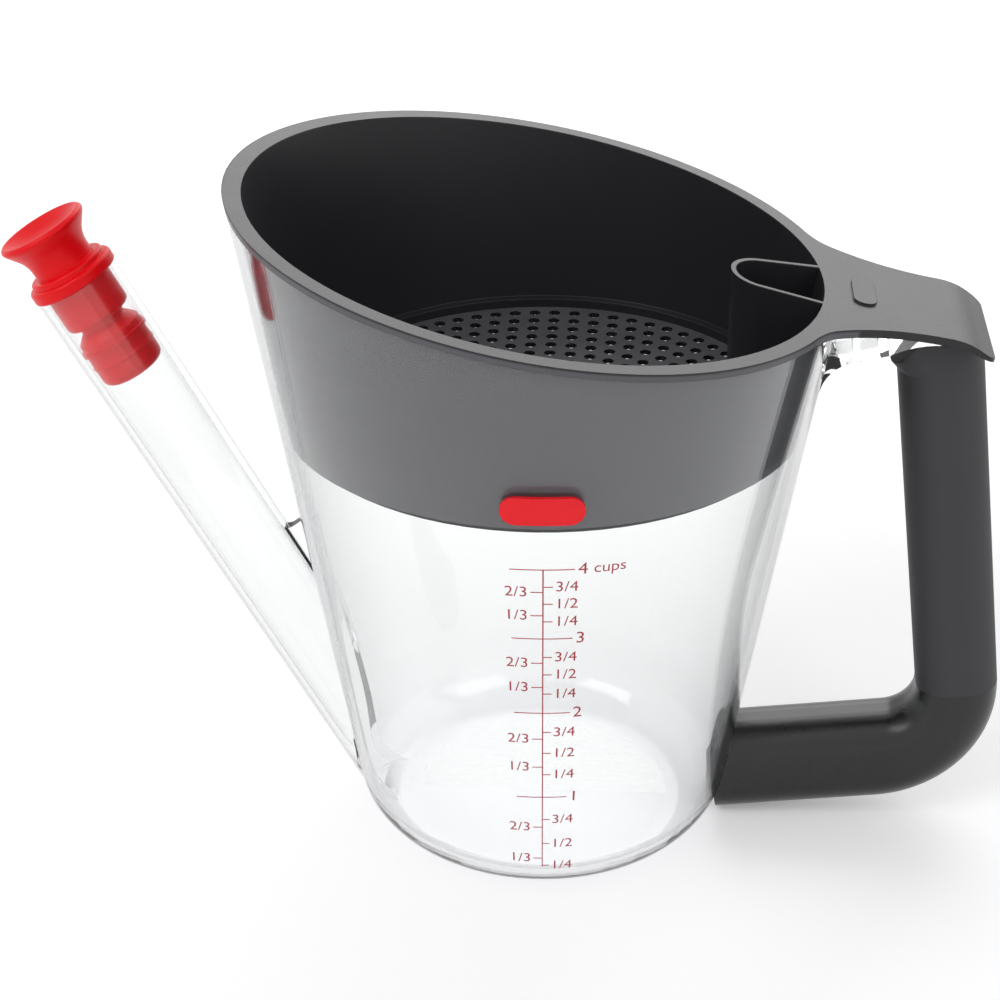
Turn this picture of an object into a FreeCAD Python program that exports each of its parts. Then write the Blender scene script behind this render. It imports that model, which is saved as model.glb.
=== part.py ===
"""Gravy fat separator: a clear cup with a low pouring spout, a lift-out strainer and a stopper.

Millimetres, +Z up. The origin is the centre of the cup's flat base, on the surface it stands on.
The spout points along -X and the handle along +X.
"""

import FreeCAD
import Part
import math
import os
import re
import Sketcher

Vector = FreeCAD.Vector
Rotation = FreeCAD.Rotation

SIZES = {
    # The cup is a cone that widens upwards, with a rounded bottom corner and a slanted rim.
    "cup_ground_radius": 46.1,
    "cup_lean": 9.29,
    "cup_corner_radius": 15.3,
    "cup_wall": 1.9,
    "cup_floor": 2.3,
    "rim_height": 158.8,
    "rim_tilt": 10.4,
    # The bracket is a clear channel under the strainer's tab, over the top of the grip.
    "bracket_width": 20.0,
    "bracket_wall": 2.2,
    "bracket_root_height": 120.0,
    "bracket_knee_height": 131.8,
    "bracket_knee_radius": 10.0,
    "bracket_rise": 13.4,
    "bracket_reach": 103.2,
    "bracket_clearance": 0.3,
    "channel_reach": 79.0,
    "rib_reach": 74.0,
    "rib_thickness": 1.6,
    # The spout is a slightly tapered tube from the bottom of the cup up to its mouth.
    "spout_reach": 113.05,
    "spout_height": 145.4,
    "spout_lean": 28.48,
    "spout_mouth_radius": 10.75,
    "spout_foot_radius": 10.05,
    "spout_wall": 1.7,
    "spout_foot_clearance": 1.0,
    "spout_sole": 2.3,
    "web_thickness": 3.0,
    "web_height": 84.0,
    "web_foot_height": 36.4,
    "web_dip": 5.0,
    "web_radius": 3.0,
    "bond_gap": 0.05,
    # The handle is built in its own leaning frame. Its corner is where the two centre lines cross.
    "handle_reach": 108.7,
    "handle_height": 20.7,
    "handle_lean": 7.25,
    "handle_width": 20.0,
    "handle_corner_radius": 8.2,
    "arm_thickness": 24.5,
    "arm_length": 64.5,
    "elbow_outer_radius": 33.0,
    "elbow_inner_radius": 9.0,
    "seam_height": 20.2,
    "post_size": 12.0,
    "post_corner_radius": 2.0,
    "post_clearance": 0.1,
    "grip_thickness": 20.5,
    "collar_height": 110.3,
    "collar_rise": 3.8,
    "collar_flare": 2.6,
    "collar_chamfer": 3.6,
    "arch_height": 118.6,
    "arch_offset": 3.5,
    "arch_radius": 24.3,
    "arch_slope": 25.0,
    "seat_gap": 0.1,
    # The badge lies on the front of the cup.
    "badge_azimuth": 2.9,
    "badge_height": 122.4,
    "badge_length": 19.0,
    "badge_width": 7.4,
    "badge_thickness": 1.0,
    # The strainer's bowl follows the inside of the cup and hangs by its lip.
    "strainer_clearance": 0.3,
    "strainer_wall": 2.0,
    "lip_thickness": 1.95,
    "ledge_height": 117.5,
    "ledge_thickness": 1.2,
    "ledge_width": 2.7,
    "tray_wall": 1.4,
    "tray_depth": 1.1,
    "screen_thickness": 1.2,
    "screen_edge_radius": 0.8,
    "hole_pitch": 5.0,
    "hole_size": 2.3,
    # The vent chimney is a U in plan, open at top and bottom, closed by the bowl's wall.
    "chimney_reach": 44.1,
    "chimney_width": 14.1,
    "chimney_flare": 11.3,
    "chimney_tip_radius": 8.3,
    "chimney_wall": 1.2,
    "chimney_clearance": 0.1,
    "chimney_land": 1.6,
    # The tab runs out from the lip over the bracket and bends down at its end.
    "tab_width": 35.2,
    "tab_shoulder_reach": 66.5,
    "tab_shoulder_width": 52.4,
    "tab_shoulder_radius": 12.0,
    "tab_root_slope": 56.0,
    "tab_flare_reach": 80.7,
    "tab_flare_radius": 46.0,
    "tab_bend_reach": 98.8,
    "tab_bend_slope": 36.0,
    "tab_bend_radius": 17.0,
    "tab_reach": 105.3,
    "tab_end_thickness": 0.8,
    "tab_corner_radius": 3.0,
    "pill_reach": 75.3,
    "pill_length": 15.0,
    "pill_width": 5.6,
    "pill_height": 0.5,
    # The stopper is one silicone turning. Its heights run outwards from the spout's mouth face.
    "stopper_top_radius": 11.4,
    "stopper_top_height": 15.9,
    "stopper_rim_thickness": 2.0,
    "stopper_dish_radius": 4.6,
    "stopper_dish_depth": 2.9,
    "stopper_waist_radius": 7.6,
    "stopper_waist_height": 9.3,
    "stopper_flange_radius": 11.1,
    "stopper_flange_thickness": 3.2,
    "stopper_shoulder_radius": 9.7,
    "stopper_shoulder_thickness": 1.5,
    "plug_play": 0.65,
    "plug_length": 10.2,
    "neck_radius": 5.8,
    "neck_length": 1.6,
    "bulb_play": 0.85,
    "bulb_taper": 2.4,
    "fin_play": 0.2,
    "fin_depth": 16.3,
    "fin_thickness": 0.7,
    "bead_play": 0.55,
    "bead_depth": 20.5,
    "bead_thickness": 1.4,
    "stopper_length": 26.4,
    "stopper_end_radius": 2.5,
}

doc = FreeCAD.newDocument("fat_separator")
sheet = doc.addObject("Spreadsheet::Sheet", "sizes")
for row, (alias, amount) in enumerate(SIZES.items(), start=1):
    sheet.set(f"A{row}", alias)
    sheet.set(f"B{row}", str(amount))
    sheet.setAlias(f"B{row}", alias)
doc.recompute()


# Expressions: a size is written by its alias alone, and bound() adds the sheet's name.

def bound(text):
    return re.sub(r"[a-z_]+", lambda word: "sizes." + word[0] if word[0] in SIZES else word[0], str(text))


def number(text):
    """The present value of an expression."""
    result = sheet.evalExpression(bound(text))
    return float(getattr(result, "Value", result))


def wall_radius(height, inset="0"):
    """Radius, at a height, of a cone parallel to the cup's outer wall and inset square to it."""
    return f"(cup_ground_radius + ({height}) * tan(cup_lean) - ({inset}) / cos(cup_lean))"


def rim_plane(across, lift="0"):
    """Height of the slanted rim plane at an X, or of a plane parallel to it and lifted square to it."""
    return f"(rim_height - ({across}) * tan(rim_tilt) + ({lift}) / cos(rim_tilt))"


def spout_axis_x(height):
    """X of the spout's axis at a height."""
    return f"(0 - spout_reach + (spout_height - ({height})) * tan(spout_lean))"


BOWL_INSET = "(cup_wall + strainer_clearance)"
BOWL_INNER_INSET = "(cup_wall + strainer_clearance + strainer_wall)"
ABOVE_ALL = "(2 * rim_height)"
BEYOND_WALL = "(2 * cup_ground_radius)"
LEDGE_BOTTOM = "(ledge_height - ledge_thickness)"
TRAY_RADIUS = f"({wall_radius(LEDGE_BOTTOM, BOWL_INSET)} - ledge_width)"
SCREEN_TOP = "(ledge_height - ledge_thickness - tray_depth)"
SCREEN_BOTTOM = "(ledge_height - ledge_thickness - tray_depth - screen_thickness)"

# Two places nearer than this are the same place.
TOUCH = 1e-4


# Helpers for bodies, sketches and features.

def new_body(name):
    body = doc.addObject("PartDesign::Body", name)
    body.Label = name
    return body


def new_sketch(body, role, corners=(), lift="0"):
    """A sketch on one of the body's own planes, lifted along its normal, with a closed outline."""
    sketch = body.newObject("Sketcher::SketchObject", f"{body.Name}_sketch")
    plane = [item for item in body.Origin.OriginFeatures if item.Role == role][0]
    sketch.AttachmentSupport = [(plane, "")]
    sketch.MapMode = "FlatFace"
    sketch.setExpression("AttachmentOffset.Base.z", bound(lift))
    if corners:
        draw_outline(sketch, corners)
    return sketch


def pin(sketch, part, end, x, y):
    """Hold a point of the sketch at a place given by two expressions."""
    for kind, axis, text in (("DistanceX", -2, x), ("DistanceY", -1, y)):
        if text == "0":
            sketch.addConstraint(Sketcher.Constraint("PointOnObject", part, end, axis))
            continue
        index = sketch.addConstraint(Sketcher.Constraint(kind, -1, 1, part, end, number(text)))
        sketch.renameConstraint(index, f"place_{index}")
        sketch.setExpression(f"Constraints.place_{index}", bound(text))


def draw_outline(sketch, corners):
    """A closed outline of straight sides. A corner is (x, y), or (x, y, radius) to round it."""
    count = len(corners)
    spots = [Vector(number(corner[0]), number(corner[1])) for corner in corners]
    starts, ends, centres, radii = [], [], [], []
    for i, spot in enumerate(spots):
        back = (spots[i - 1] - spot).normalize()
        ahead = (spots[(i + 1) % count] - spot).normalize()
        half_angle = back.getAngle(ahead) / 2
        radius = number(corners[i][2]) if len(corners[i]) > 2 else 0.0
        cut_back = radius / math.tan(half_angle)
        ends.append(spot + back * cut_back)
        starts.append(spot + ahead * cut_back)
        middle = (back + ahead).normalize() if radius else Vector()
        centres.append(spot + middle * (radius / math.sin(half_angle)))
        radii.append(radius)
    sides = [
        sketch.addGeometry(Part.LineSegment(starts[i], ends[(i + 1) % count]), False)
        for i in range(count)
    ]
    for i, corner in enumerate(corners):
        before, after = sides[i - 1], sides[i]
        if not radii[i]:
            sketch.addConstraint(Sketcher.Constraint("Coincident", before, 2, after, 1))
            pin(sketch, after, 1, corner[0], corner[1])
            continue
        first, last = ends[i] - centres[i], starts[i] - centres[i]
        left_turn = (spots[i] - spots[i - 1]).cross(spots[(i + 1) % count] - spots[i]).z > 0
        if not left_turn:
            first, last = last, first
        circle = Part.Circle(centres[i], Vector(0, 0, 1), radii[i])
        turn = (math.atan2(first.y, first.x), math.atan2(last.y, last.x))
        arc = sketch.addGeometry(Part.ArcOfCircle(circle, *turn), False)
        tip = sketch.addGeometry(Part.Point(spots[i]), True)
        pin(sketch, tip, 1, corner[0], corner[1])
        sketch.addConstraint(Sketcher.Constraint("PointOnObject", tip, 1, before))
        sketch.addConstraint(Sketcher.Constraint("PointOnObject", tip, 1, after))
        sketch.addConstraint(Sketcher.Constraint("Tangent", before, 2, arc, 1 if left_turn else 2))
        sketch.addConstraint(Sketcher.Constraint("Tangent", after, 1, arc, 2 if left_turn else 1))
        index = sketch.addConstraint(Sketcher.Constraint("Radius", arc, radii[i]))
        sketch.renameConstraint(index, f"round_{index}")
        sketch.setExpression(f"Constraints.round_{index}", bound(corner[2]))


def revolve(body, corners):
    """Turn an outline of (radius, height) corners about the body's Z axis."""
    turned = body.newObject("PartDesign::Revolution", f"{body.Name}_turned")
    turned.Profile = new_sketch(body, "XZ_Plane", corners)
    turned.ReferenceAxis = (turned.Profile[0], ["V_Axis"])
    turned.Angle = 360
    body.Tip = turned
    return turned


def pad(body, sketch, length, symmetric=False):
    raised = body.newObject("PartDesign::Pad", f"{body.Name}_pad")
    raised.Profile = sketch
    raised.SideType = "Symmetric" if symmetric else "One side"
    raised.setExpression("Length", bound(length))
    body.Tip = raised
    return raised


def pocket_through(body, sketch):
    """Cut an outline right through the body, to both sides of the sketch."""
    cut = body.newObject("PartDesign::Pocket", f"{body.Name}_cut")
    cut.Profile = sketch
    cut.SideType = "Symmetric"
    cut.Type = "ThroughAll"
    body.Tip = cut
    return cut


def fillet_edges(body, radius, wanted):
    """Round the edges of the body so far that a test picks."""
    doc.recompute()
    base = body.Tip
    names = [f"Edge{i}" for i, edge in enumerate(base.Shape.Edges, start=1) if wanted(edge)]
    rounded = body.newObject("PartDesign::Fillet", f"{body.Name}_fillet")
    rounded.Base = (base, names)
    rounded.setExpression("Radius", bound(radius))
    body.Tip = rounded
    return rounded


def combine(kind, name, *shapes):
    """A Part boolean: Cut and Common take two shapes, MultiFuse takes any number."""
    result = doc.addObject(f"Part::{kind}", name)
    result.Label = name
    if kind == "MultiFuse":
        result.Shapes = list(shapes)
    else:
        result.Base, result.Tool = shapes
    return result


def place(item, x="0", y="0", z="0", axis=(0, 1, 0), angle="0"):
    """Set an object's Placement by expressions: its base point and a turn about one axis."""
    item.Placement = FreeCAD.Placement(Vector(), Rotation(Vector(*axis), number(angle)))
    item.setExpression("Placement.Base.x", bound(x))
    item.setExpression("Placement.Base.y", bound(y))
    item.setExpression("Placement.Base.z", bound(z))
    item.setExpression("Placement.Rotation.Angle", bound(angle))


def place_in_handle_frame(item):
    place(item, x="handle_reach", z="handle_height", angle="0 - handle_lean")


def place_on_spout_axis(item):
    """Local +Z points out of the spout's mouth, and local zero is the mouth face."""
    place(item, x="0 - spout_reach", z="spout_height", angle="0 - spout_lean")


def below_plane(name, lift):
    """A block of everything under the rim plane, or under a plane parallel to it and lifted."""
    block = new_body(name)
    corners = [
        (f"0 - {BEYOND_WALL}", rim_plane(f"0 - {BEYOND_WALL}", lift)),
        (f"0 - {BEYOND_WALL}", f"0 - {ABOVE_ALL}"),
        (BEYOND_WALL, f"0 - {ABOVE_ALL}"),
        (BEYOND_WALL, rim_plane(BEYOND_WALL, lift)),
    ]
    pad(block, new_sketch(block, "XZ_Plane", corners), f"2 * {BEYOND_WALL}", symmetric=True)
    return block


def bend_corner(depth):
    """Corner of the tab's bend, as x and z, for a line that runs at a depth under the tab's top face."""
    half_turn = "tan((tab_bend_slope - rim_tilt) / 2)"
    x = f"(tab_bend_reach - ({depth}) * (sin(rim_tilt) + {half_turn} * cos(rim_tilt)))"
    top = rim_plane("tab_bend_reach", "lip_thickness")
    z = f"({top} - ({depth}) * (cos(rim_tilt) - {half_turn} * sin(rim_tilt)))"
    return x, z


def bend_line(across, depth):
    """Height, at an X past the bend, of the line that runs at a depth under the tab's top face."""
    x, z = bend_corner(depth)
    return f"({z} - (({across}) - {x}) * tan(tab_bend_slope))"


# Shapes that several pieces are cut by.

def build_cup_envelope():
    """The whole cup as one solid, larger by the bond gap, to trim what is bonded to its outside."""
    body = new_body("cup_envelope")
    revolve(body, [
        ("0", "0"),
        (wall_radius("0", "0 - bond_gap"), "0", "cup_corner_radius"),
        (wall_radius(ABOVE_ALL, "0 - bond_gap"), ABOVE_ALL),
        ("0", ABOVE_ALL),
    ])
    return body


def build_bore():
    """The spout's bore, above the sole of its foot, as one tool for the tube and the cup's wall."""
    length = "(spout_height / cos(spout_lean) + spout_mouth_radius)"
    bore = doc.addObject("Part::Cone", "bore_cone")
    bore.setExpression("Radius1", bound("spout_mouth_radius - spout_wall"))
    bore.setExpression("Radius2", bound("spout_foot_radius - spout_wall"))
    bore.setExpression("Height", bound(length))
    place(bore, x="0 - spout_reach", z="spout_height", angle="180 - spout_lean")
    return combine("Common", "bore", bore, build_block_above("bore_space", "spout_foot_clearance + spout_sole"))


def build_block_above(name, height):
    """A block of everything above a height."""
    half_span = "(2 * spout_reach)"
    block = doc.addObject("Part::Box", name)
    block.setExpression("Length", bound(f"2 * {half_span}"))
    block.setExpression("Width", bound(f"2 * {half_span}"))
    block.setExpression("Height", bound(ABOVE_ALL))
    place(block, x=f"0 - {half_span}", y=f"0 - {half_span}", z=height)
    return block


def build_arch_room():
    """The space that the grip's top takes in the bracket, under the arch and its seat gap."""
    body = new_body("arch_room")
    left = "(0 - grip_thickness / 2 - collar_flare - seat_gap)"
    drop = f"(0 - {left} - arch_offset) * tan(arch_slope)"
    drop_right = "(grip_thickness + arch_offset) * tan(arch_slope)"
    peak = "(arch_height + seat_gap + (arch_radius + seat_gap) * (1 / cos(arch_slope) - 1))"
    corners = [
        (left, "collar_height"),
        ("grip_thickness", "collar_height"),
        ("grip_thickness", f"{peak} - {drop_right}"),
        ("0 - arch_offset", peak, "arch_radius + seat_gap"),
        (left, f"{peak} - {drop}"),
    ]
    pad(body, new_sketch(body, "XZ_Plane", corners), "2 * bracket_width", symmetric=True)
    place_in_handle_frame(body)
    return body


# The cup with its bracket.

def build_cup(bore):
    body = new_body("cup_shell")
    revolve(body, [
        ("0", "0"),
        (wall_radius("0"), "0", "cup_corner_radius"),
        (wall_radius(ABOVE_ALL), ABOVE_ALL),
        (wall_radius(ABOVE_ALL, "cup_wall"), ABOVE_ALL),
        (wall_radius("cup_floor", "cup_wall"), "cup_floor", "cup_corner_radius - cup_wall"),
        ("0", "cup_floor"),
    ])
    rim = combine("Common", "cup_rim_cut", body, below_plane("below_rim", "0"))
    outside = combine("MultiFuse", "cup_with_bracket", rim, build_bracket())
    seated = combine("Cut", "cup_with_seat", outside, build_arch_room())
    return combine("Cut", "cup", seated, bore)


def build_bracket():
    """A channel from the wall under the tab, then a plate over the grip that bends as the tab does."""
    body = new_body("bracket")
    depth = "(lip_thickness + bracket_clearance)"
    bend_x, bend_z = bend_corner(depth)
    root = f"({wall_radius('bracket_root_height', 'cup_wall / 2')})"
    knee = wall_radius("bracket_knee_height", "cup_wall / 4")
    top = wall_radius(rim_plane(root, "0 - bracket_clearance"), "cup_wall / 2")
    grip_top_x = "(handle_reach - arch_height * sin(handle_lean))"
    grip_edge = f"({grip_top_x} - grip_thickness / 2 - collar_flare + bracket_wall)"
    under_edge = f"(bracket_knee_height + ({grip_edge} - {knee}) * tan(bracket_rise))"
    corners = [
        (root, "bracket_root_height"),
        (knee, "bracket_knee_height", "bracket_knee_radius"),
        (grip_edge, under_edge),
        ("bracket_reach", under_edge),
        ("bracket_reach", bend_line("bracket_reach", "(tab_end_thickness + bracket_clearance)")),
        (bend_x, bend_z, "tab_bend_radius - lip_thickness - bracket_clearance"),
        (top, rim_plane(top, "0 - bracket_clearance")),
    ]
    pad(body, new_sketch(body, "XZ_Plane", corners), "bracket_width", symmetric=True)
    bays = [
        (wall_radius("bracket_knee_height"), "rib_reach - rib_thickness / 2"),
        ("rib_reach + rib_thickness / 2", "channel_reach"),
    ]
    floor = f"bracket_knee_height + bracket_wall / cos(bracket_rise) - {knee} * tan(bracket_rise)"
    for near, far in bays:
        bay = [
            (near, f"{floor} + ({near}) * tan(bracket_rise)"),
            (far, f"{floor} + ({far}) * tan(bracket_rise)"),
            (far, ABOVE_ALL),
            (near, ABOVE_ALL),
        ]
        bay_cut = body.newObject("PartDesign::Pocket", "bracket_bay")
        bay_cut.Profile = new_sketch(body, "XZ_Plane", bay)
        bay_cut.SideType = "Symmetric"
        bay_cut.setExpression("Length", bound("bracket_width - 2 * bracket_wall"))
        body.Tip = bay_cut
    return body


# The spout.

def build_spout(bore, envelope):
    tube = doc.addObject("Part::Cone", "spout_tube")
    tube.setExpression("Radius1", bound("spout_mouth_radius"))
    tube.setExpression("Radius2", bound("spout_foot_radius"))
    tube.setExpression("Height", bound("spout_height / cos(spout_lean) + spout_mouth_radius"))
    place(tube, x="0 - spout_reach", z="spout_height", angle="180 - spout_lean")
    web = new_body("spout_web")
    dip_x = f"(({spout_axis_x('web_height')} + spout_mouth_radius - {wall_radius('web_height')}) / 2)"
    corners = [
        (spout_axis_x("web_foot_height"), "web_foot_height"),
        (spout_axis_x("web_height"), "web_height"),
        (dip_x, "web_height - web_dip", "web_radius"),
        (f"0 - {wall_radius('web_height', 'cup_wall')}", "web_height"),
        (f"0 - {wall_radius('web_foot_height', 'cup_wall')} + spout_wall", "web_foot_height"),
    ]
    pad(web, new_sketch(web, "XZ_Plane", corners), "web_thickness", symmetric=True)
    whole = combine("MultiFuse", "spout_whole", tube, web)
    standing = combine("Common", "spout_standing", whole, build_block_above("spout_space", "spout_foot_clearance"))
    hollow = combine("Cut", "spout_hollow", standing, bore)
    return combine("Cut", "spout", hollow, envelope)


# The handle: a hard arm with a post, and a soft grip on the post.

def rounded_rectangle(left, right, width, radius):
    return [
        (left, f"0 - {width} / 2", radius),
        (right, f"0 - {width} / 2", radius),
        (right, f"{width} / 2", radius),
        (left, f"{width} / 2", radius),
    ]


def arch_cut(body):
    """Cut the top of a handle piece to the arch under the bracket."""
    peak = "(arch_height + arch_radius * (1 / cos(arch_slope) - 1))"
    drop = "grip_thickness * tan(arch_slope)"
    corners = [
        ("0 - arch_offset - grip_thickness", f"{peak} - {drop}"),
        ("0 - arch_offset", peak, "arch_radius"),
        ("0 - arch_offset + grip_thickness", f"{peak} - {drop}"),
        ("0 - arch_offset + grip_thickness", "2 * arch_height"),
        ("0 - arch_offset - grip_thickness", "2 * arch_height"),
    ]
    return pocket_through(body, new_sketch(body, "XZ_Plane", corners))


def build_handle_arm(envelope):
    body = new_body("arm_body")
    half_arm = "(arm_thickness / 2)"
    half_grip = "(grip_thickness / 2)"
    top = f"({half_arm} + elbow_outer_radius)"
    pad(body, new_sketch(body, "XZ_Plane", [
        ("0 - arm_length", f"0 - {half_arm}"),
        (half_grip, f"0 - {half_arm}", "elbow_outer_radius"),
        (half_grip, top),
        (f"0 - {half_grip}", top),
        (f"0 - {half_grip}", half_arm, "elbow_inner_radius"),
        ("0 - arm_length", half_arm),
    ]), "handle_width", symmetric=True)
    half_width = number("handle_width / 2")
    end_height = number(top)
    end_reach = number("0 - arm_length")

    def long_edge(edge):
        points = [edge.valueAt(edge.FirstParameter), edge.valueAt(edge.LastParameter)]
        on_side = all(abs(abs(point.y) - half_width) < TOUCH for point in points)
        same_side = abs(points[0].y - points[1].y) < TOUCH
        across_top = all(abs(point.z - end_height) < TOUCH for point in points)
        across_end = all(abs(point.x - end_reach) < TOUCH for point in points)
        return on_side and same_side and not across_top and not across_end

    fillet_edges(body, "handle_corner_radius", long_edge)
    pocket_through(body, new_sketch(body, "XZ_Plane", [
        ("0 - grip_thickness", "seam_height"),
        ("grip_thickness", "seam_height"),
        ("grip_thickness", f"2 * {top}"),
        ("0 - grip_thickness", f"2 * {top}"),
    ]))
    half_post = "(post_size / 2)"
    post = rounded_rectangle(f"0 - {half_post}", half_post, "post_size", "post_corner_radius")
    pad(body, new_sketch(body, "XY_Plane", post, lift="seam_height"), "arch_height")
    arch_cut(body)
    place_in_handle_frame(body)
    return combine("Cut", "handle_arm", body, envelope)


def build_handle_grip():
    body = new_body("handle_grip")
    half_grip = "grip_thickness / 2"
    plain = rounded_rectangle(f"0 - {half_grip}", half_grip, "handle_width", "handle_corner_radius")
    flared = rounded_rectangle(
        f"0 - {half_grip} - collar_flare", half_grip, "handle_width", "handle_corner_radius")
    pad(body, new_sketch(body, "XY_Plane", plain, lift="seam_height"), "collar_height - seam_height")
    loft = body.newObject("PartDesign::AdditiveLoft", "grip_collar")
    loft.Profile = new_sketch(body, "XY_Plane", plain, lift="collar_height")
    loft.Sections = [new_sketch(body, "XY_Plane", flared, lift="collar_height + collar_rise")]
    loft.Ruled = True
    body.Tip = loft
    pad(body, new_sketch(body, "XY_Plane", flared, lift="collar_height + collar_rise"), "arch_radius")
    arch_cut(body)
    collar_edge = f"(0 - {half_grip} - collar_flare)"
    chamfer_foot = "(arch_height - arch_offset - collar_chamfer)"
    pocket_through(body, new_sketch(body, "XZ_Plane", [
        (f"{collar_edge} - arch_radius", f"{chamfer_foot} - arch_radius"),
        (f"{collar_edge} + arch_radius", f"{chamfer_foot} + arch_radius"),
        (f"{collar_edge} - arch_radius", f"{chamfer_foot} + arch_radius"),
    ]))
    half_hole = "(post_size / 2 + post_clearance)"
    hole = rounded_rectangle(
        f"0 - {half_hole}", half_hole, f"(2 * {half_hole})", "post_corner_radius + post_clearance")
    pocket_through(body, new_sketch(body, "XY_Plane", hole, lift="seam_height"))
    place_in_handle_frame(body)
    return body


# The front badge.

def build_front_badge():
    """A curved plate that follows the cup's wall, trimmed to a pill."""
    shell = new_body("badge_shell")
    low, high = "(badge_height - badge_width)", "(badge_height + badge_width)"
    revolve(shell, [
        (wall_radius(low, "0 - bond_gap"), low),
        (wall_radius(low, "0 - bond_gap - badge_thickness"), low),
        (wall_radius(high, "0 - bond_gap - badge_thickness"), high),
        (wall_radius(high, "0 - bond_gap"), high),
    ])
    prism = new_body("badge_pill")
    end_radius = "badge_width / 2 - bond_gap"
    pill = [(x, f"badge_height + ({z})", radius) for x, z, radius in rounded_rectangle(
        "0 - badge_length / 2", "badge_length / 2", "badge_width", end_radius)]
    pad(prism, new_sketch(prism, "XZ_Plane", pill), BEYOND_WALL)
    badge = combine("Common", "front_badge", shell, prism)
    place(badge, axis=(0, 0, 1), angle="badge_azimuth")
    return badge


# The strainer.

def chimney_outline(body, inset, lift):
    """The chimney's U in plan, inset square to its walls, from its tip to beyond the bowl's wall."""
    tip = f"(chimney_reach + {inset})"
    half = f"(chimney_width / 2 + {inset} * tan(chimney_flare) - {inset} / cos(chimney_flare))"
    far = BEYOND_WALL
    half_far = f"({half} + ({far} - {tip}) * tan(chimney_flare))"
    return new_sketch(body, "XY_Plane", [
        (tip, f"0 - {half}", f"chimney_tip_radius - {inset}"),
        (far, f"0 - {half_far}"),
        (far, half_far),
        (tip, half, f"chimney_tip_radius - {inset}"),
    ], lift=lift)


def bowl_solid(name, inset):
    """The space inside a cone parallel to the cup's wall, from the screen's bottom upwards."""
    body = new_body(name)
    revolve(body, [
        ("0", SCREEN_BOTTOM),
        (wall_radius(SCREEN_BOTTOM, inset), SCREEN_BOTTOM),
        (wall_radius(ABOVE_ALL, inset), ABOVE_ALL),
        ("0", ABOVE_ALL),
    ])
    return body


def build_tab():
    """A plate in the lip's plane that bends down and thins at its end, trimmed to its outline in plan."""
    side = new_body("tab_side")
    root = "(tab_shoulder_reach - tab_shoulder_radius / 2)"
    top_x, top_z = bend_corner("0")
    low_x, low_z = bend_corner("lip_thickness")
    end_x = "(tab_reach - tab_end_thickness * sin(tab_bend_slope))"
    pad(side, new_sketch(side, "XZ_Plane", [
        (root, rim_plane(root)),
        (low_x, low_z, "tab_bend_radius - lip_thickness"),
        (end_x, bend_line(end_x, "tab_end_thickness")),
        ("tab_reach", bend_line("tab_reach", "0")),
        (top_x, top_z, "tab_bend_radius"),
        (root, rim_plane(root, "lip_thickness")),
    ]), f"2 * {BEYOND_WALL}", symmetric=True)
    plan = new_body("tab_plan")
    half_root = "(tab_shoulder_width / 2 + tab_shoulder_radius / 2 * tan(tab_root_slope))"
    half_plan = [
        (root, half_root),
        ("tab_shoulder_reach", "(tab_shoulder_width / 2)", "tab_shoulder_radius"),
        ("tab_flare_reach", "(tab_width / 2)", "tab_flare_radius"),
        ("tab_reach", "(tab_width / 2)", "tab_corner_radius"),
    ]
    far_half = [(corner[0], f"0 - {corner[1]}", *corner[2:]) for corner in half_plan]
    pad(plan, new_sketch(plan, "XY_Plane", far_half + half_plan[::-1]), ABOVE_ALL)
    return combine("Common", "tab", side, plan)


def build_pill():
    """The small raised pill on the tab, square to the slanted face that carries it."""
    body = new_body("tab_pill")
    reach = "(pill_reach / cos(rim_tilt))"
    half = "(pill_width / 2)"
    pill = rounded_rectangle(f"{reach} - {half}", f"{reach} + {half}", "pill_length", f"{half} - bond_gap")
    pad(body, new_sketch(body, "XY_Plane", pill), "lip_thickness / 2 + pill_height")
    place(body, z=rim_plane("0", "lip_thickness / 2"), angle="rim_tilt")
    return body


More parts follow.
